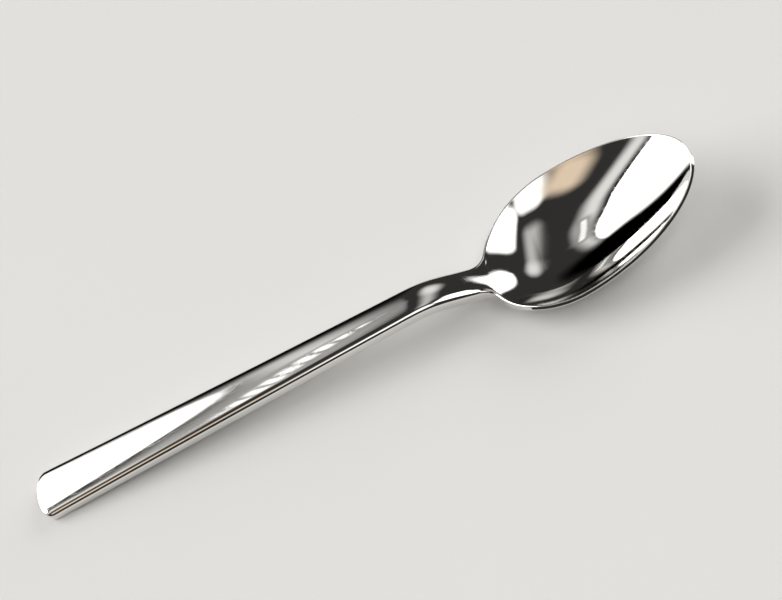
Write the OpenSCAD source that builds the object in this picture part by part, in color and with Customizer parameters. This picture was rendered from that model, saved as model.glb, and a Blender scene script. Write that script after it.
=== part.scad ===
// Table spoon lying on its back: a dished bowl, an arched neck and a tapering handle.
// Millimetres. +X runs from the end of the handle to the tip of the bowl, +Z is up and the table is z = 0.
// The origin is on the table, midway along the spoon. Stations x are measured from the end of the handle.

/* [Overall] */
// Length from the end of the handle to the tip of the bowl
length = 200; // [170:1:240]

/* [Bowl] */
// Greatest width across the rim
bowl_w = 41.8; // [34:0.2:50]
// Length of the bowl from heel to tip
bowl_l = 62; // [52:0.2:74]
// Distance from the heel to the widest place
widest_at = 24.5; // [20:0.5:30]
// Distance from the heel to the lowest place, where the belly touches the table
lowest_at = 15.6; // [13:0.2:22]
// Height of the rim's line above the table, carried on back to the heel
heel_rim_z = 6.1; // [5:0.1:8]
// Height of the rim above the table at the tip
tip_rim_z = 17.7; // [13:0.1:22]
// How far the rim dips below a straight line from heel to tip
rim_dip = 0.95; // [0:0.05:2]
// Height of the floor above the table at the heel
heel_floor_z = 6.3; // [5:0.1:7.4]
// Slope of the floor at the heel, in degrees
heel_slope = 25; // [18:0.5:32]
// Thickness of the bowl's wall
wall = 1.2; // [0.8:0.05:1.8]
// Lean of the rim's edge face, in degrees from upright
rim_lean = 42; // [25:1:60]
// How full the floor is: 0 is a plain parabola, more is flatter below and steeper at the rim
fullness = 0.14; // [0:0.02:0.3]
// Radius of the rim's two edges
rim_r = 0.3; // [0.1:0.05:0.4]

/* [Neck] */
// Length of the arched part between the handle and the heel
neck_l = 22; // [18:0.5:30]
// Width where the neck reaches the heel
neck_w = 8.9; // [7:0.1:12]
// Thickness of the neck's sides, where it leaves the handle
neck_side = 3.3; // [2.5:0.1:4.5]
// Radius of the shoulders in plan, where the neck turns into the rim
shoulder_r = 4.8; // [3:0.2:8]
// How far past the heel the neck's curve runs before it is the rim
heel_run = 8; // [6:0.5:10]
// Thickness of the neck's sides at the heel
heel_side = 3.9; // [3:0.1:4.5]
// How far before the heel the sides begin to thin into the rim
thin_lead = 3; // [1:0.5:6]
// Distance over which the sides thin into the rim
thin_run = 15; // [11:0.5:20]

/* [Handle] */
// Width at the end, before its corners are rounded
end_w = 15.6; // [12:0.2:20]
// Thickness of the handle's sides at the end
end_side = 3; // [2.2:0.1:4]
// How far each side bows in between the end and the heel
side_bow = 0.28; // [0:0.02:0.6]
// Height of the crowned top above its edges
crown = 0.7; // [0.2:0.1:1.4]
// Rise of the flat underside from the table, in degrees
rise = 3.9; // [3:0.05:4.6]
// Length of the flat under the end, where the handle rests on the table
rest_l = 4; // [2:0.5:6]
// Length of the rounded end
end_l = 4; // [3:0.5:9]
// Squareness of the rounded end: 2 is an ellipse, more is squarer
end_square = 2.3; // [2:0.1:4]
// How far the underside is set back from the top at the end
end_tuck = 2; // [0:0.1:2.4]
// Radius of the top edges
top_r = 1.7; // [0.5:0.1:2]
// Radius of the edges below
under_r = 0.6; // [0.2:0.1:1]

/* [Hidden] */

// Stations where the pieces and the shapes change
x_heel = length - bowl_l;
x_neck = x_heel - neck_l;
x_low = x_heel + lowest_at;
x_wide = x_heel + widest_at;
x_rim = x_heel + heel_run;
x_thin = x_heel - thin_lead;

// Steps of the mesh: round the end, along the handle, neck and heel, and round the tip
end_steps = 10;
handle_steps = 8;
neck_steps = 16;
heel_steps = 18;
tip_steps = 26;

// Steps of one half section: across the top, round each edge and across the underside
top_steps = 14;
edge_steps = 4;
under_steps = 11;

// Greatest share of a side that one rounded edge takes
edge_share = 0.45;

// Least squareness that the width of a rounded edge is worked out with
least_square = 0.4;

// Numbers of the sections that bound the pieces, and of those that the end and the tip fan out from
end_hub = end_steps;
neck_cut = end_hub + handle_steps;
heel_cut = neck_cut + neck_steps;
tip_hub = heel_cut + heel_steps;
last = tip_hub + tip_steps;
heel_crowding = 1.6;

function mix(a, b, t) = a + (b - a) * t;

// Rises from 0 to 1 with no slope and no curvature at either end
function ease(t) = t <= 0 ? 0 : t >= 1 ? 1 : t * t * t * (10 + t * (6 * t - 15));

// Height along a curve that starts at [height, slope, curvature] a and ends at b, over the stations x0 to x1
function blend(x, x0, x1, a, b) =
    let (s = x1 - x0, t = (x - x0) / s, t3 = t * t * t, u = 1 - t, u3 = u * u * u)
    u3 * (a[0] * (1 + 3 * t + 6 * t * t) + a[1] * s * t * (1 + 3 * t) + a[2] * s * s * t * t / 2)
    + t3 * (b[0] * (1 + 3 * u + 6 * u * u) - b[1] * s * u * (1 + 3 * u) + b[2] * s * s * u * u / 2);

// How far a station is on the way from handle to bowl in its middle, and from side to rim at its edges
function bowlness(x) = ease((x - x_neck) / (x_low - x_neck));
function rimness(x) = ease((x - x_thin) / thin_run);

// Plan outline: half widths of the stem, of the egg-shaped bowl, and of both with the shoulder between
function stem(x) = let (t = x / x_heel) mix(end_w, neck_w, t) / 2 - 4 * side_bow * t * (1 - t);

function egg(x) =
    let (t = (x - x_wide) / (x < x_wide ? widest_at : bowl_l - widest_at))
    bowl_w / 2 * sqrt(max(0, 1 - t * t));

// The shoulder is an arc that touches the stem and the egg. It touches the egg at the angle where the arc's
// middle, square to the egg, lies one radius out from the stem.
function egg_point(angle) = [x_wide - widest_at * cos(angle), bowl_w / 2 * sin(angle)];

function shoulder_middle(angle) =
    let (square = [-bowl_w / 2 * cos(angle), widest_at * sin(angle)])
    egg_point(angle) + shoulder_r * square / norm(square);

function touch_angle(low, high, halvings = 40) =
    let (angle = (low + high) / 2, middle = shoulder_middle(angle))
    halvings == 0 ? angle
    : middle.y < stem(middle.x) + shoulder_r ? touch_angle(angle, high, halvings - 1)
    : touch_angle(low, angle, halvings - 1);

egg_touch = touch_angle(0, 90);
shoulder_mid = shoulder_middle(egg_touch);
x_touch = egg_point(egg_touch).x;

function half_width(x) =
    x <= shoulder_mid.x ? stem(x)
    : x < x_touch ? shoulder_mid.y - sqrt(pow(shoulder_r, 2) - pow(x - shoulder_mid.x, 2))
    : egg(x);

// Side outline: the sides' thickness, the top edge, the middle of the top and the middle of the underside
under_slope = tan(rise);
thickening = (neck_side - end_side) / x_neck;
top_slope = under_slope + thickening;

function side(x) = mix(end_side + thickening * x, heel_side, ease((x - x_neck) / neck_l));

rim_curve = 8 * rim_dip / pow(bowl_l, 2);
rim_slope = (tip_rim_z - heel_rim_z - 4 * rim_dip) / bowl_l + rim_curve * heel_run;
low_curve = 2 * (tip_rim_z - wall) * (1 - fullness) / pow(length - x_low, 2);

function rim_z(x) =
    let (t = (x - x_heel) / bowl_l)
    x <= x_neck ? under_slope * (x - rest_l) + side(x)
    : x < x_rim ? blend(x, x_neck, x_rim, [rim_z(x_neck), top_slope, 0], [rim_z(x_rim), rim_slope, rim_curve])
    : mix(heel_rim_z, tip_rim_z, t) - 4 * rim_dip * t * (1 - t);

function floor_z(x) =
    let (at_heel = [heel_floor_z, -tan(heel_slope), 0])
    x <= x_neck ? rim_z(x) + crown
    : x < x_heel ? blend(x, x_neck, x_heel, [floor_z(x_neck), top_slope, 0], at_heel)
    : blend(x, x_heel, x_low, at_heel, [wall, 0, low_curve]);

function under_z(x) = max(0, floor_z(x) - mix(side(x) + crown, wall, bowlness(x)));

// Station where the end's sharp top edge would be, for its rounded edge to end at station 0
end_fall = end_tuck * min(edge_share, top_r / norm([end_tuck, end_side + crown]));
end_x = -top_r * end_fall / (top_r + end_fall);

// Outline point of each section, from the middle of the handle's end along the left side to the tip
function end_point(angle) =
    let (x = mix(end_l, end_x, pow(cos(angle), 2 / end_square)))
    [x, stem(x) * pow(sin(angle), 2 / end_square)];

stations = [
    for (i = [0:handle_steps]) mix(end_l, x_neck, i / handle_steps),
    for (i = [1:neck_steps]) mix(x_heel, x_neck, pow(1 - i / neck_steps, heel_crowding)),
    for (i = [1:heel_steps]) mix(x_heel, x_low, pow(i / heel_steps, heel_crowding)),
    for (i = [1:tip_steps]) mix(x_low, length, sin(90 * i / tip_steps))
];

outline = [
    for (i = [0:end_steps - 1]) end_point(90 * i / end_steps),
    for (x = stations) [x, half_width(x)]
];

// Station of the middle point that each section starts from
function hub(i) = max(end_hub, min(tip_hub, i));
function hub_x(i) = outline[hub(i)].x;

// Direction square to the outline in plan, pointing out of the spoon
function outward(i) =
    let (before = i == 0 ? [outline[1].x, -outline[1].y] : outline[i - 1],
         after = i == last ? [outline[i - 1].x, -outline[i - 1].y] : outline[i + 1],
         along = after - before)
    [-along.y, along.x] / norm(along);

// How square a section lies to its own edge: less than 1 where it cuts the outline at a slant
function squareness(i) =
    let (reach = outline[i] - [hub_x(i), 0])
    max(least_square, reach * outward(i) / norm(reach));

function curve(a, corner, b, t) = mix(mix(a, corner, t), mix(corner, b, t), t);

// One half section, from the middle of the top over the rounded edges to the middle of the underside
function half_section(i) =
    let (
        p = outline[i],
        hx = hub_x(i),
        full = fullness * bowlness(hx),
        rim = rimness(hx),
        above_r = mix(top_r, rim_r, rim),
        below_r = mix(under_r, rim_r, rim),
        in_end = i < end_hub,
        edge_z = in_end ? floor_z(p.x) - crown * pow(p.y / stem(p.x), 2) : rim_z(p.x),
        low_x = p.x + (in_end ? end_tuck * (end_l - p.x) / (end_l - end_x) : 0),
        low_z = in_end ? under_z(low_x) : max(0, edge_z - mix(side(p.x), wall * cos(rim_lean), rim)),
        inset = rim * wall * sin(rim_lean) * outward(i),
        top_corner = [p.x - inset.x, p.y - inset.y, edge_z],
        low_corner = [low_x, p.y, low_z],
        top_mid = [hx, 0, floor_z(hx)],
        low_mid = [hx, 0, under_z(hx)],
        lift = in_end ? under_slope * (p.x - hx) : 0,
        square = squareness(i),
        reach_top = 1 - above_r / (square * norm(top_corner - top_mid)),
        reach_low = 1 - below_r / (square * norm(low_corner - low_mid)),
        face = norm(top_corner - low_corner),
        top_side = mix(top_corner, low_corner, min(edge_share, above_r / face)),
        low_side = mix(low_corner, top_corner, min(edge_share, below_r / face))
    )
    [
        for (k = [0:top_steps]) across(top_mid, top_corner, reach_top * k / top_steps, lift, full),
        for (k = [1:edge_steps])
            curve(across(top_mid, top_corner, reach_top, lift, full), top_corner, top_side, k / edge_steps),
        for (k = [0:edge_steps - 1])
            curve(low_side, low_corner, below(low_mid, low_corner, reach_low, full, in_end), k / edge_steps),
        for (k = [under_steps:-1:0]) below(low_mid, low_corner, reach_low * k / under_steps, full, in_end)
    ];

// Point at a share r of the way from a section's middle to its edge, on a surface that is level at the middle
// but for lift, which it climbs by over its whole reach
function across(mid, edge, r, lift, full) =
    let (share = r * r * (1 - full + full * r * r))
    [mix(mid.x, edge.x, r), mix(mid.y, edge.y, r), mid.z + lift * r + (edge.z - mid.z - lift) * share];

// The same on the underside, which under the handle's end has one height right across
function below(mid, edge, r, full, in_end) =
    let (p = across(mid, edge, r, 0, full))
    in_end ? [p.x, p.y, under_z(p.x)] : p;

halves = [for (i = [0:last]) half_section(i)];
half_points = len(halves[0]);

// Solid between two sections, closed with a flat face wherever it stops short of the end or the tip
module between(first, final) {
    sections = final - first + 1;
    function middle(j) = j == 0 || j == half_points - 1;
    function left(i, j) = ((middle(j) ? hub(i) : i) - first) * half_points + j;
    function right(i, j) =
        middle(j) || i == 0 || i == last ? left(i, j) : left(i, j) + sections * half_points;
    function triangle(a, b, c) = a == b || b == c || c == a ? [] : [[a, b, c]];
    function patch(a, b, c, d) = concat(triangle(a, c, b), triangle(a, d, c));
    function ring(i) = [
        for (j = [0:half_points - 1]) left(i, j),
        for (j = [half_points - 2:-1:1]) right(i, j)
    ];
    function reversed(list) = [for (k = [len(list) - 1:-1:0]) list[k]];

    points = [
        for (i = [first:final], p = halves[i]) [p.x - length / 2, p.y, p.z],
        for (i = [first:final], p = halves[i]) [p.x - length / 2, -p.y, p.z]
    ];
    faces = [
        for (i = [first:final - 1], j = [0:half_points - 2])
            each patch(left(i, j), left(i + 1, j), left(i + 1, j + 1), left(i, j + 1)),
        for (i = [first:final - 1], j = [0:half_points - 2])
            each patch(right(i, j), right(i, j + 1), right(i + 1, j + 1), right(i + 1, j)),
        if (first > 0) reversed(ring(first)),
        if (final < last) ring(final)
    ];
    polyhedron(points, faces);
}

module bowl() {
    color("silver") between(heel_cut, last);
}

module neck() {
    color("lightgray") between(neck_cut, heel_cut);
}

module handle() {
    color("gainsboro") between(0, neck_cut);
}

bowl();
neck();
handle();
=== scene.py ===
"""Looks of the table spoon: polished skins, a pale floor, soft lights and the photo's camera."""

import math
from typing import NamedTuple

import bpy
import numpy as np
from mathutils import Matrix, Vector


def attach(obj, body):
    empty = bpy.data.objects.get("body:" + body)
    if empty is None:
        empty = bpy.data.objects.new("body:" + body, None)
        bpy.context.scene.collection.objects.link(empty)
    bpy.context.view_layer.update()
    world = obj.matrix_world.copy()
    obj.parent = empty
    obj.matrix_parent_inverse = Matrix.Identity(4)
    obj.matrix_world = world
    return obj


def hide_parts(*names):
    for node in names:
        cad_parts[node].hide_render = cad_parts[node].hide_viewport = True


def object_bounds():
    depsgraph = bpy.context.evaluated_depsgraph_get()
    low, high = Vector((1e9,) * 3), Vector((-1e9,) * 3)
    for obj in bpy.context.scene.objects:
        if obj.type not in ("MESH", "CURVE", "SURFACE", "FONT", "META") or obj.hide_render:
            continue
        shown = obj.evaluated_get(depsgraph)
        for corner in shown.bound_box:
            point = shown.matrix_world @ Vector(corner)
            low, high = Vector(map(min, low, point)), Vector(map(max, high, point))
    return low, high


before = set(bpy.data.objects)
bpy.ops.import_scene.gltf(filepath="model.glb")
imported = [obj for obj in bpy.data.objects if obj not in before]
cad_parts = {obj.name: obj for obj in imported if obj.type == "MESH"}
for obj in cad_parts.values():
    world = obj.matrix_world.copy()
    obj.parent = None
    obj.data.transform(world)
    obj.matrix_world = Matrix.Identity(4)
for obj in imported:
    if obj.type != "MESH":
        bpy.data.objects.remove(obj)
cad_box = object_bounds()

MM = 0.001

# The part's own sizes, in millimetres and degrees
length = 200
bowl_w = 41.8
bowl_l = 62
widest_at = 24.5
lowest_at = 15.6
heel_rim_z = 6.1
tip_rim_z = 17.7
rim_dip = 0.95
heel_floor_z = 6.3
heel_slope = math.radians(25)
wall = 1.2
rim_lean = math.radians(42)
fullness = 0.14
rim_r = 0.3
neck_l = 22
neck_w = 8.9
neck_side = 3.3
shoulder_r = 4.8
heel_run = 8
heel_side = 3.9
thin_lead = 3
thin_run = 15
end_w = 15.6
end_side = 3
side_bow = 0.28
crown = 0.7
rise = math.radians(3.9)
rest_l = 4
end_l = 4
end_square = 2.3
end_tuck = 2
top_r = 1.7
under_r = 0.6

# Stations, measured from the end of the handle
x_heel = length - bowl_l
x_neck = x_heel - neck_l
x_low = x_heel + lowest_at
x_wide = x_heel + widest_at
x_rim = x_heel + heel_run
x_thin = x_heel - thin_lead

# Steps of the skin: round the end, along handle, neck and heel, round the tip; then across one half section
end_steps = 26
handle_steps = 48
neck_steps = 44
heel_steps = 44
tip_steps = 60
top_steps = 40
edge_steps = 8
under_steps = 24

# Crowding of stations at the heel, the largest share of a side that an edge takes, the least squareness
# of a section, halvings in the search for the shoulder, and how fast wear fades from the edges
heel_crowding = 1.6
edge_share = 0.45
least_square = 0.4
touch_halvings = 40
wear_falloff = 6

end_hub = end_steps
neck_cut = end_hub + handle_steps
heel_cut = neck_cut + neck_steps
tip_hub = heel_cut + heel_steps
last = tip_hub + tip_steps


def mix(a, b, t):
    return a + (b - a) * t


def ease(t):
    t = min(1.0, max(0.0, t))
    return t * t * t * (10 + t * (6 * t - 15))


def blend(x, x0, x1, a, b):
    """Height along a curve from [height, slope, curvature] a at x0 to b at x1."""
    s = x1 - x0
    t = (x - x0) / s
    u = 1 - t
    start = a[0] * (1 + 3 * t + 6 * t * t) + a[1] * s * t * (1 + 3 * t) + a[2] * s * s * t * t / 2
    stop = b[0] * (1 + 3 * u + 6 * u * u) - b[1] * s * u * (1 + 3 * u) + b[2] * s * s * u * u / 2
    return u**3 * start + t**3 * stop


def bowlness(x):
    return ease((x - x_neck) / (x_low - x_neck))


def rimness(x):
    return ease((x - x_thin) / thin_run)


def stem(x):
    t = x / x_heel
    return mix(end_w, neck_w, t) / 2 - 4 * side_bow * t * (1 - t)


def egg(x):
    t = (x - x_wide) / (widest_at if x < x_wide else bowl_l - widest_at)
    return bowl_w / 2 * math.sqrt(max(0.0, 1 - t * t))


def egg_point(angle):
    return np.array([x_wide - widest_at * math.cos(angle), bowl_w / 2 * math.sin(angle)])


def shoulder_middle(angle):
    square = np.array([-bowl_w / 2 * math.cos(angle), widest_at * math.sin(angle)])
    return egg_point(angle) + shoulder_r * square / np.linalg.norm(square)


def touch_angle():
    low, high = 0.0, math.pi / 2
    for _ in range(touch_halvings):
        angle = (low + high) / 2
        middle = shoulder_middle(angle)
        if middle[1] < stem(middle[0]) + shoulder_r:
            low = angle
        else:
            high = angle
    return low


egg_touch = touch_angle()
shoulder_mid = shoulder_middle(egg_touch)
x_touch = egg_point(egg_touch)[0]


def half_width(x):
    if x <= shoulder_mid[0]:
        return stem(x)
    if x < x_touch:
        return shoulder_mid[1] - math.sqrt(shoulder_r**2 - (x - shoulder_mid[0]) ** 2)
    return egg(x)


under_slope = math.tan(rise)
thickening = (neck_side - end_side) / x_neck
top_slope = under_slope + thickening
rim_curve = 8 * rim_dip / bowl_l**2
rim_slope = (tip_rim_z - heel_rim_z - 4 * rim_dip) / bowl_l + rim_curve * heel_run
low_curve = 2 * (tip_rim_z - wall) * (1 - fullness) / (length - x_low) ** 2


def side(x):
    return mix(end_side + thickening * x, heel_side, ease((x - x_neck) / neck_l))


def rim_z(x):
    if x <= x_neck:
        return under_slope * (x - rest_l) + side(x)
    if x < x_rim:
        start = [rim_z(x_neck), top_slope, 0]
        return blend(x, x_neck, x_rim, start, [rim_z(x_rim), rim_slope, rim_curve])
    t = (x - x_heel) / bowl_l
    return mix(heel_rim_z, tip_rim_z, t) - 4 * rim_dip * t * (1 - t)


def floor_z(x):
    at_heel = [heel_floor_z, -math.tan(heel_slope), 0]
    if x <= x_neck:
        return rim_z(x) + crown
    if x < x_heel:
        return blend(x, x_neck, x_heel, [floor_z(x_neck), top_slope, 0], at_heel)
    return blend(x, x_heel, x_low, at_heel, [wall, 0, low_curve])


def under_z(x):
    return max(0.0, floor_z(x) - mix(side(x) + crown, wall, bowlness(x)))


end_fall = end_tuck * min(edge_share, top_r / math.hypot(end_tuck, end_side + crown))
end_x = -top_r * end_fall / (top_r + end_fall)


def end_point(angle):
    x = mix(end_l, end_x, math.cos(angle) ** (2 / end_square))
    return (x, stem(x) * math.sin(angle) ** (2 / end_square))


def outline_points():
    stations = [mix(end_l, x_neck, i / handle_steps) for i in range(handle_steps + 1)]
    stations += [mix(x_heel, x_neck, (1 - i / neck_steps) ** heel_crowding)
                 for i in range(1, neck_steps + 1)]
    stations += [mix(x_heel, x_low, (i / heel_steps) ** heel_crowding)
                 for i in range(1, heel_steps + 1)]
    stations += [mix(x_low, length, math.sin(math.pi / 2 * i / tip_steps))
                 for i in range(1, tip_steps + 1)]
    points = [end_point(math.pi / 2 * i / end_steps) for i in range(end_steps)]
    return np.array(points + [(x, half_width(x)) for x in stations])


outline = outline_points()


def hub(i):
    return max(end_hub, min(tip_hub, i))


def outward(i):
    before = outline[1] * [1, -1] if i == 0 else outline[i - 1]
    after = outline[i - 1] * [1, -1] if i == last else outline[i + 1]
    along = after - before
    return np.array([-along[1], along[0]]) / np.linalg.norm(along)


def squareness(i):
    """How square a section lies to its own edge."""
    reach = outline[i] - [outline[hub(i)][0], 0]
    return max(least_square, reach @ outward(i) / np.linalg.norm(reach))


def curve(a, corner, b, t):
    return mix(mix(a, corner, t), mix(corner, b, t), t)


def across(middle, edge, r, lift, full):
    share = r * r * (1 - full + full * r * r)
    flat = mix(middle, edge, r)
    return np.array([flat[0], flat[1], middle[2] + lift * r + (edge[2] - middle[2] - lift) * share])


def below(middle, edge, r, full, in_end):
    p = across(middle, edge, r, 0, full)
    if in_end:
        p[2] = under_z(p[0])
    return p


def half_section(i):
    """Points of one half section, from the middle of the top over the rounded edges to the middle below."""
    px, py = outline[i]
    hx = outline[hub(i)][0]
    full = fullness * bowlness(hx)
    rim = rimness(hx)
    above_r = mix(top_r, rim_r, rim)
    below_r = mix(under_r, rim_r, rim)
    in_end = i < end_hub
    edge_z = floor_z(px) - crown * (py / stem(px)) ** 2 if in_end else rim_z(px)
    low_x = px + (end_tuck * (end_l - px) / (end_l - end_x) if in_end else 0)
    low_z = under_z(low_x) if in_end else max(0.0, edge_z - mix(side(px), wall * math.cos(rim_lean), rim))
    inset = rim * wall * math.sin(rim_lean) * outward(i)
    top_corner = np.array([px - inset[0], py - inset[1], edge_z])
    low_corner = np.array([low_x, py, low_z])
    top_mid = np.array([hx, 0, floor_z(hx)])
    low_mid = np.array([hx, 0, under_z(hx)])
    lift = under_slope * (px - hx) if in_end else 0
    square = squareness(i)
    reach_top = 1 - above_r / (square * np.linalg.norm(top_corner - top_mid))
    reach_low = 1 - below_r / (square * np.linalg.norm(low_corner - low_mid))
    face = np.linalg.norm(top_corner - low_corner)
    top_side = mix(top_corner, low_corner, min(edge_share, above_r / face))
    low_side = mix(low_corner, top_corner, min(edge_share, below_r / face))
    top_end = across(top_mid, top_corner, reach_top, lift, full)
    low_end = below(low_mid, low_corner, reach_low, full, in_end)
    points = [across(top_mid, top_corner, reach_top * k / top_steps, lift, full)
              for k in range(top_steps + 1)]
    points += [curve(top_end, top_corner, top_side, k / edge_steps) for k in range(1, edge_steps + 1)]
    points += [curve(low_side, low_corner, low_end, k / edge_steps) for k in range(edge_steps)]
    points += [below(low_mid, low_corner, reach_low * k / under_steps, full, in_end)
               for k in range(under_steps, -1, -1)]
    return points


halves = np.array([half_section(i) for i in range(last + 1)])
rows, columns = halves.shape[:2]
halves[..., 0] -= length / 2
halves *= MM

# The finer skin reaches a hair further than the solids' facets, so it is drawn in to their box
halves[..., 0] *= min(1.0, cad_box[0][0] / halves[..., 0].min(), cad_box[1][0] / halves[..., 0].max())
halves[..., 1] *= min(1.0, cad_box[1][1] / halves[..., 1].max())
skin_points = np.concatenate([halves.reshape(-1, 3), halves.reshape(-1, 3) * [1, -1, 1]])


def left(i, j):
    return (hub(i) if j in (0, columns - 1) else i) * columns + j


def right(i, j):
    if j in (0, columns - 1) or i in (0, last):
        return left(i, j)
    return left(i, j) + rows * columns


def without_repeats(corners):
    return [c for k, c in enumerate(corners) if c != corners[k - 1]]


def skin_faces(first, final):
    faces = []
    for i in range(first, final):
        for j in range(columns - 1):
            corners = [(i, j), (i + 1, j), (i + 1, j + 1), (i, j + 1)]
            faces.append(without_repeats([left(*c) for c in corners]))
            faces.append(without_repeats([right(*c) for c in reversed(corners)]))
    return [f for f in faces if len(f) > 2]


def ring(i):
    return [left(i, j) for j in range(columns)] + [right(i, j) for j in range(columns - 2, 0, -1)]


def skin_normals(faces):
    """Smooth normals over the whole spoon, so that the three pieces mirror as one."""
    normals = np.zeros_like(skin_points)
    for f in faces:
        for k in range(1, len(f) - 1):
            a, b, c = skin_points[[f[0], f[k], f[k + 1]]]
            square = np.cross(b - a, c - a)
            for v in (f[0], f[k], f[k + 1]):
                normals[v] += square
    sizes = np.linalg.norm(normals, axis=1)
    normals[sizes > 0] /= sizes[sizes > 0][:, None]
    return normals


normals = skin_normals(skin_faces(0, last))


def edge_closeness(j):
    """How close a column of the skin is to the rounded edges: 1 on them, 0 in the middle."""
    on_edge = top_steps <= j <= top_steps + 2 * edge_steps
    inner = j / top_steps if j < top_steps else (columns - 1 - j) / under_steps
    return 1.0 if on_edge else max(0.0, min(1.0, inner)) ** wear_falloff


def make_piece(node, first, final, material):
    faces = skin_faces(first, final)
    skin_count = len(faces)
    if first > 0:
        faces.append(ring(first))
    if final < last:
        faces.append(ring(final)[::-1])
    used = sorted({v for f in faces for v in f})
    number = {v: k for k, v in enumerate(used)}
    mesh = bpy.data.meshes.new("spoon_" + node)
    mesh.from_pydata([tuple(skin_points[v]) for v in used], [], [[number[v] for v in f] for f in faces])
    mesh.update()
    closeness = mesh.attributes.new("edge_closeness", "FLOAT", "POINT")
    closeness.data.foreach_set("value", [edge_closeness(v % columns) for v in used])
    loop_normals = []
    for k, f in enumerate(faces):
        if k < skin_count:
            loop_normals += [tuple(normals[v]) for v in f]
        else:
            loop_normals += [tuple(mesh.polygons[k].normal)] * len(f)
    mesh.polygons.foreach_set("use_smooth", [True] * len(faces))
    mesh.normals_split_custom_set(loop_normals)
    mesh.materials.append(material)
    piece = bpy.data.objects.new("spoon_" + node, mesh)
    bpy.context.scene.collection.objects.link(piece)
    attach(piece, "root")
    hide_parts(node)


class Tree:
    """Short words for building a node tree."""

    def __init__(self, tree):
        self.tree = tree
        self.tree.nodes.clear()

    def node(self, kind, inputs=(), **settings):
        made = self.tree.nodes.new(kind)
        for name, value in settings.items():
            setattr(made, name, value)
        for name, value in dict(inputs).items():
            self.set(made, name, value)
        return made

    def set(self, node, name, value):
        if isinstance(value, bpy.types.NodeSocket):
            self.tree.links.new(value, node.inputs[name])
        else:
            node.inputs[name].default_value = value

    def math(self, operation, *values):
        made = self.node("ShaderNodeMath", dict(enumerate(values)), operation=operation)
        return made.outputs[0]

    def dot(self, vector, direction):
        made = self.node("ShaderNodeVectorMath", {0: vector, 1: tuple(direction)}, operation="DOT_PRODUCT")
        return made.outputs["Value"]

    def ramp(self, value, low, high, to_low, to_high):
        inputs = {"Value": value, "From Min": low, "From Max": high, "To Min": to_low, "To Max": to_high}
        return self.node("ShaderNodeMapRange", inputs, interpolation_type="SMOOTHSTEP").outputs[0]

    def stretched(self, vector, scale, turn=0.0):
        inputs = {"Vector": vector, "Scale": scale, "Rotation": (0, 0, math.radians(turn))}
        return self.node("ShaderNodeMapping", inputs).outputs[0]

    def blend(self, share, a, b):
        inputs = {"Factor": share, "A": a, "B": b}
        return self.node("ShaderNodeMix", inputs, data_type="RGBA").outputs["Result"]

    def noise(self, vector, scale, detail):
        made = self.node("ShaderNodeTexNoise", {"Vector": vector, "Scale": scale, "Detail": detail})
        return made.outputs[0]


# The finish: colours, then marks per metre and their detail, then what each mark adds to roughness and height
STEEL = (0.80, 0.79, 0.77, 1)
HAZY_STEEL = (0.74, 0.73, 0.71, 1)
HAZE_SCALE = 55.0
HAZE_DETAIL = 4.0
HAZE_STARTS = 0.45
HAZE_FULL = 0.75
LINE_SCALES = (60, 1900, 1900)
LINE_DETAIL = 3.0
SCRATCH_TURNS = (12, 74, 141)
SCRATCH_SCALES = (35, 420, 420)
SCRATCH_DETAIL = 1.0
SCRATCH_WIDTH = 0.006
WEAR_SCALE = 900.0
WEAR_DETAIL = 3.0
NOISE_MIDDLE = 0.5
CLEAN_ROUGHNESS = 0.015
HAZE_ROUGHNESS = 0.03
SCRATCH_ROUGHNESS = 0.05
WEAR_ROUGHNESS = 0.07
LINE_HEIGHT = 0.5
SCRATCH_HEIGHT = -0.25
BUMP_STRENGTH = 0.05
BUMP_DISTANCE = 0.04 * MM

FLOOR_DARK = (0.78, 0.775, 0.765, 1)
FLOOR_LIGHT = (0.82, 0.815, 0.805, 1)
FLOOR_CLOUD_SCALE = 6.0
FLOOR_CLOUD_DETAIL = 4.0
FLOOR_ROUGHNESS = 0.85
FLOOR_HALF = 6.0


def polished_steel():
    material = bpy.data.materials.new("polished_steel")
    material.use_nodes = True
    t = Tree(material.node_tree)
    place = t.node("ShaderNodeTexCoord").outputs["Object"]
    edge = t.node("ShaderNodeAttribute", attribute_name="edge_closeness").outputs["Fac"]

    # Haze left by wiping, lines of the last polish along the spoon, and hair scratches lying every way
    haze = t.ramp(t.noise(place, HAZE_SCALE, HAZE_DETAIL), HAZE_STARTS, HAZE_FULL, 0.0, 1.0)
    lines = t.noise(t.stretched(place, LINE_SCALES), 1.0, LINE_DETAIL)
    scratches = 0.0
    for turn in SCRATCH_TURNS:
        along = t.noise(t.stretched(place, SCRATCH_SCALES, turn), 1.0, SCRATCH_DETAIL)
        thin = t.math("ABSOLUTE", t.math("SUBTRACT", along, NOISE_MIDDLE))
        scratches = t.math("MAXIMUM", scratches, t.ramp(thin, 0.0, SCRATCH_WIDTH, 1.0, 0.0))
    worn = t.math("MULTIPLY", edge, t.noise(place, WEAR_SCALE, WEAR_DETAIL))

    roughness = t.math("ADD", CLEAN_ROUGHNESS, t.math("MULTIPLY", haze, HAZE_ROUGHNESS))
    roughness = t.math("ADD", roughness, t.math("MULTIPLY", scratches, SCRATCH_ROUGHNESS))
    roughness = t.math("ADD", roughness, t.math("MULTIPLY", worn, WEAR_ROUGHNESS))
    line_height = t.math("MULTIPLY", lines, LINE_HEIGHT)
    height = t.math("ADD", line_height, t.math("MULTIPLY", scratches, SCRATCH_HEIGHT))
    bump = t.node("ShaderNodeBump", {"Strength": BUMP_STRENGTH, "Distance": BUMP_DISTANCE, "Height": height})

    tint = t.blend(haze, STEEL, HAZY_STEEL)
    inputs = {"Metallic": 1.0, "Roughness": roughness, "Normal": bump.outputs[0], "Base Color": tint}
    shader = t.node("ShaderNodeBsdfPrincipled", inputs)
    t.node("ShaderNodeOutputMaterial", {"Surface": shader.outputs[0]})
    return material


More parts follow.
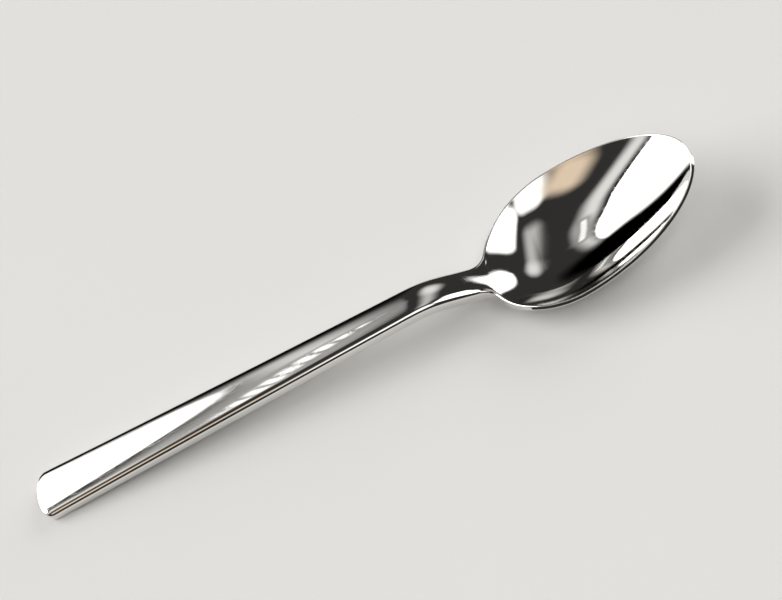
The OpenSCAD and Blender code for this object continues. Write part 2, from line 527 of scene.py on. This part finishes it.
def floor_material():
    material = bpy.data.materials.new("pale_floor")
    material.use_nodes = True
    t = Tree(material.node_tree)
    place = t.node("ShaderNodeTexCoord").outputs["Object"]
    tone = t.blend(t.noise(place, FLOOR_CLOUD_SCALE, FLOOR_CLOUD_DETAIL), FLOOR_DARK, FLOOR_LIGHT)
    matte = t.node("ShaderNodeBsdfPrincipled", {"Roughness": FLOOR_ROUGHNESS, "Base Color": tone})
    t.node("ShaderNodeOutputMaterial", {"Surface": matte.outputs[0]})
    return material


steel = polished_steel()
make_piece("handle", 0, neck_cut, steel)
make_piece("neck", neck_cut, heel_cut, steel)
make_piece("bowl", heel_cut, last, steel)

# Floor
floor_mesh = bpy.data.meshes.new("floor")
floor_mesh.from_pydata([(-FLOOR_HALF, -FLOOR_HALF, 0), (FLOOR_HALF, -FLOOR_HALF, 0),
                        (FLOOR_HALF, FLOOR_HALF, 0), (-FLOOR_HALF, FLOOR_HALF, 0)], [], [(0, 1, 2, 3)])
floor_mesh.materials.append(floor_material())
floor = bpy.data.objects.new("floor", floor_mesh)
bpy.context.scene.collection.objects.link(floor)

# Soft round-cornered lights and dark shades round the table, placed one by one from the directions that
# points of the photo mirror. Each is laid over those before it.
WHITE = (1.0, 0.99, 0.97)
BEIGE = (1.0, 0.80, 0.60)
ROOM_LEVEL = 0.035
CORNER_SHARE = 0.8


class Light(NamedTuple):
    """A light as seen from the table: its middle from +X and the floor, and its size, in degrees."""
    azimuth: float
    elevation: float
    width: float
    height: float
    soft: float
    level: float
    turn: float = 0
    tint: tuple = WHITE


class Slats(NamedTuple):
    """Slats before a light: the middle and turn of one gap, the pitch and the gap, in degrees."""
    azimuth: float
    elevation: float
    turn: float
    pitch: float
    gap: float
    soft: float


# The white left side of the bowl, with a dark bar left between the two
front_wash = Light(azimuth=335, elevation=58, width=50, height=24, soft=4, level=2.4)
side_wash = Light(azimuth=262, elevation=52, width=28, height=30, soft=3, level=1.5)

# The pale streak beside the bowl's dark middle
ceiling_strip = Light(azimuth=78, elevation=70, width=14, height=56, soft=7, level=0.6)

# The white end of the handle and the white tip of the bowl, in a dark frame on a pale panel
pale_panel = Light(azimuth=155, elevation=25, width=72, height=80, soft=4, level=0.9)
window_frame = Light(azimuth=152, elevation=25, width=62, height=64, soft=3, level=0.03)
window = Light(azimuth=150, elevation=25, width=58, height=56, soft=1, level=4.0)
window_shade = Light(azimuth=116, elevation=12, width=30, height=44, soft=5, level=0, turn=20)

# The warm patch under the bowl's far rim, the white oval at the heel and the pale patch on the neck
beige_wall = Light(azimuth=228, elevation=48, width=16, height=22, soft=5, level=0.9, tint=BEIGE)
heel_light = Light(azimuth=36, elevation=13, width=50, height=51, soft=2, level=3.2)
neck_light = Light(azimuth=78, elevation=50, width=16, height=16, soft=7, level=0.9)

# The row of bright spots along the handle
lamp_glow = Light(azimuth=130, elevation=57, width=24, height=6, soft=3, level=0.3, turn=40)
lamp_row = Light(azimuth=130, elevation=57, width=20, height=2.4, soft=0.8, level=1.8, turn=40)
lamp_slats = Slats(azimuth=128, elevation=56, turn=60, pitch=0.8, gap=0.5, soft=0.15)

LIGHTS = [front_wash, side_wash, ceiling_strip, pale_panel, window_frame, window, window_shade,
          beige_wall, heel_light, neck_light, lamp_glow]


def lit(level, tint):
    return tuple(level * c for c in tint) + (1.0,)


def way_to(azimuth, elevation):
    flat = math.cos(elevation)
    return Vector((flat * math.cos(azimuth), flat * math.sin(azimuth), math.sin(elevation)))


def axes_of(light):
    """The way to a light's middle, and the ways across and up it."""
    a, e, r = (math.radians(v) for v in (light.azimuth, light.elevation, light.turn))
    facing = way_to(a, e)
    level_way = Vector((-math.sin(a), math.cos(a), 0))
    up_way = Vector((-math.sin(e) * math.cos(a), -math.sin(e) * math.sin(a), math.cos(e)))
    wide = math.cos(r) * level_way + math.sin(r) * up_way
    tall = math.cos(r) * up_way - math.sin(r) * level_way
    return facing, wide, tall


def light_mask(t, direction, light):
    """1 inside a light and 0 outside, by the angle past its round-cornered edge."""
    facing, wide, tall = axes_of(light)
    ahead = t.dot(direction, facing)
    corner = CORNER_SHARE * min(light.width, light.height) / 2
    past = []
    for axis, size in ((wide, light.width), (tall, light.height)):
        off = t.math("ABSOLUTE", t.dot(direction, axis))
        angle = t.math("ARCTAN2", off, ahead)
        past.append(t.math("MAXIMUM", t.math("SUBTRACT", angle, math.radians(size / 2 - corner)), 0.0))
    both = t.node("ShaderNodeCombineXYZ", {"X": past[0], "Y": past[1]}).outputs[0]
    outside = t.node("ShaderNodeVectorMath", {0: both}, operation="LENGTH").outputs["Value"]
    return t.ramp(outside, math.radians(corner - light.soft), math.radians(corner + light.soft), 1.0, 0.0)


def gap_mask(t, direction, slats):
    """1 in the gaps between slats and 0 on them."""
    facing, _, tall = axes_of(slats)
    angle = t.math("ARCTAN2", t.dot(direction, tall), t.dot(direction, facing))
    from_gap = t.math("PINGPONG", angle, math.radians(slats.pitch / 2))
    edge = slats.gap / 2
    return t.ramp(from_gap, math.radians(edge - slats.soft), math.radians(edge + slats.soft), 1.0, 0.0)


world = bpy.data.worlds.new("studio")
bpy.context.scene.world = world
world.use_nodes = True
sky = Tree(world.node_tree)
direction = sky.node("ShaderNodeTexCoord").outputs["Generated"]
glow = lit(ROOM_LEVEL, WHITE)
for light in LIGHTS:
    glow = sky.blend(light_mask(sky, direction, light), glow, lit(light.level, light.tint))
lamps = sky.math("MULTIPLY", light_mask(sky, direction, lamp_row), gap_mask(sky, direction, lamp_slats))
glow = sky.blend(lamps, glow, lit(lamp_row.level, lamp_row.tint))
background = sky.node("ShaderNodeBackground", {"Color": glow})
sky.node("ShaderNodeOutputWorld", {"Surface": background.outputs[0]})

# Camera at the photo's place: found by fitting the spoon's outline. The aim point is seen at AIM_PIXEL.
IMAGE_W, IMAGE_H = 782, 600
SENSOR_MM = 36.0
FOCAL_PIXELS = 1800.26
ELEVATION = math.radians(51.454)
AZIMUTH = math.radians(-74.629)
ROLL = math.radians(-37.597)
DISTANCE = 475.108 * MM
AIM = Vector((0, 0, 7.76)) * MM
AIM_PIXEL = (352.557, 336.45)
NEAR_CLIP = 0.01

back = way_to(AZIMUTH, ELEVATION)
level_right = (-back).cross(Vector((0, 0, 1))).normalized()
level_up = level_right.cross(-back)
cam_right = math.cos(ROLL) * level_right + math.sin(ROLL) * level_up
cam_up = math.cos(ROLL) * level_up - math.sin(ROLL) * level_right
aside = (AIM_PIXEL[0] - IMAGE_W / 2) / FOCAL_PIXELS * DISTANCE
above = (IMAGE_H / 2 - AIM_PIXEL[1]) / FOCAL_PIXELS * DISTANCE
place = AIM + DISTANCE * back - aside * cam_right - above * cam_up

lens = bpy.data.cameras.new("camera")
lens.sensor_fit = "HORIZONTAL"
lens.sensor_width = SENSOR_MM
lens.lens = FOCAL_PIXELS * SENSOR_MM / IMAGE_W
lens.clip_start = NEAR_CLIP
camera = bpy.data.objects.new("camera", lens)
turn = Matrix((cam_right, cam_up, back)).transposed()
camera.matrix_world = Matrix.Translation(place) @ turn.to_4x4()
bpy.context.scene.collection.objects.link(camera)
bpy.context.scene.camera = camera

bpy.context.scene.view_settings.view_transform = "Standard"
